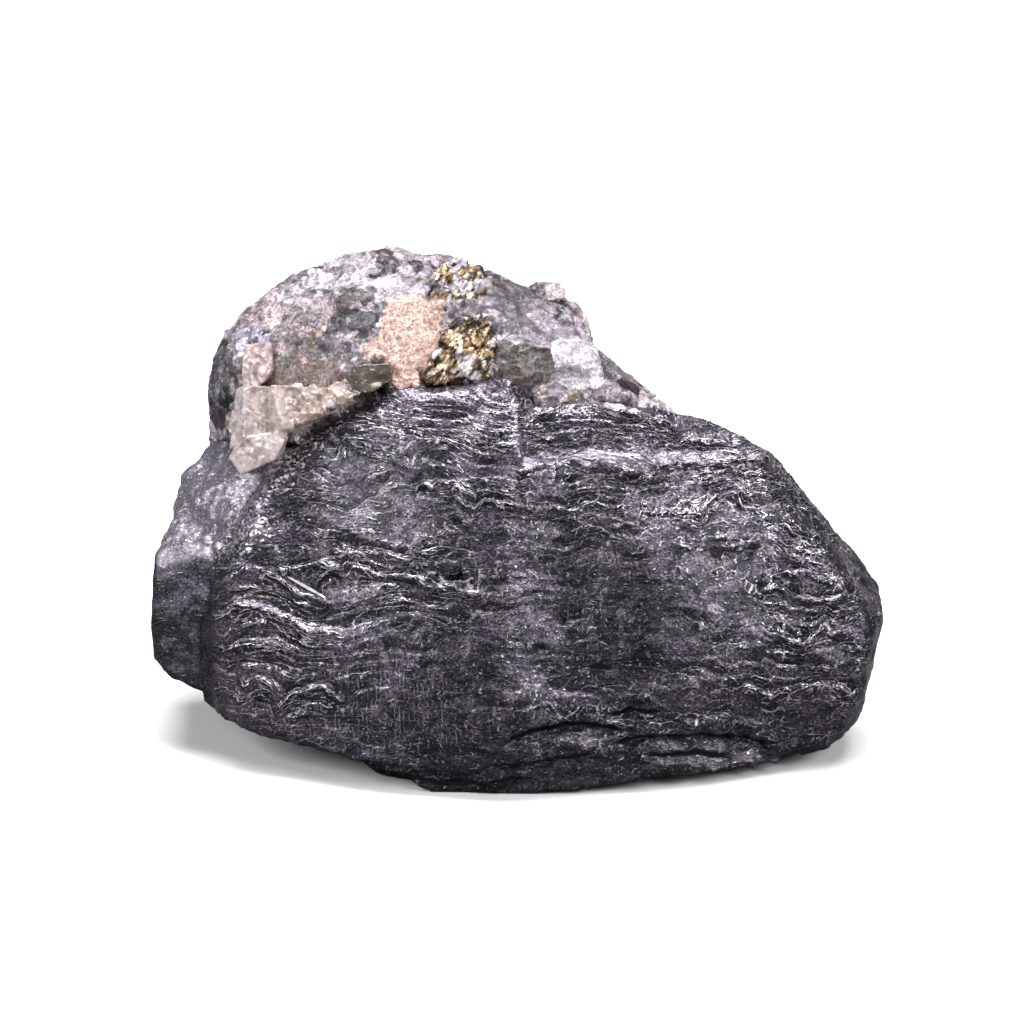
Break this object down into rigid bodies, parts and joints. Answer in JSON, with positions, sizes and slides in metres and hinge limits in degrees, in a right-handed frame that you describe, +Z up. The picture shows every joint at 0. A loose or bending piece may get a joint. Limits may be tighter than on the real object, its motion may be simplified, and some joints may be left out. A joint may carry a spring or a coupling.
{
  "type": "galena specimen",
  "caption": "Hand-sized lump of galena ore with a broad ledged cleavage face, a granular quartz and calcite matrix above it, clear calcite crystals and brassy chalcopyrite patches.",
  "frame": {"origin": "under the middle of the lump's bounding box, on the flat it rests on", "axes": "+X along the broad ledged face, towards its narrow end; -Y out of that face towards the viewer; +Z up"},
  "size_m": [0.0796, 0.046, 0.0503],
  "materials": {
    "galena": "dull metallic, cleaved in fine bright-edged ledges",
    "matrix": "granular and sparkling, pale lilac-grey with pink and dark grains",
    "calcite": "translucent, grey-pink",
    "chalcopyrite": "brassy metallic with brown and black pits"
  },
  "bodies": {
    "root": {"galena_mass": "galena", "matrix": "matrix", "calcite_crystals": "calcite", "chalcopyrite_lower": "chalcopyrite", "chalcopyrite_upper": "chalcopyrite"}
  },
  "joints": []
}
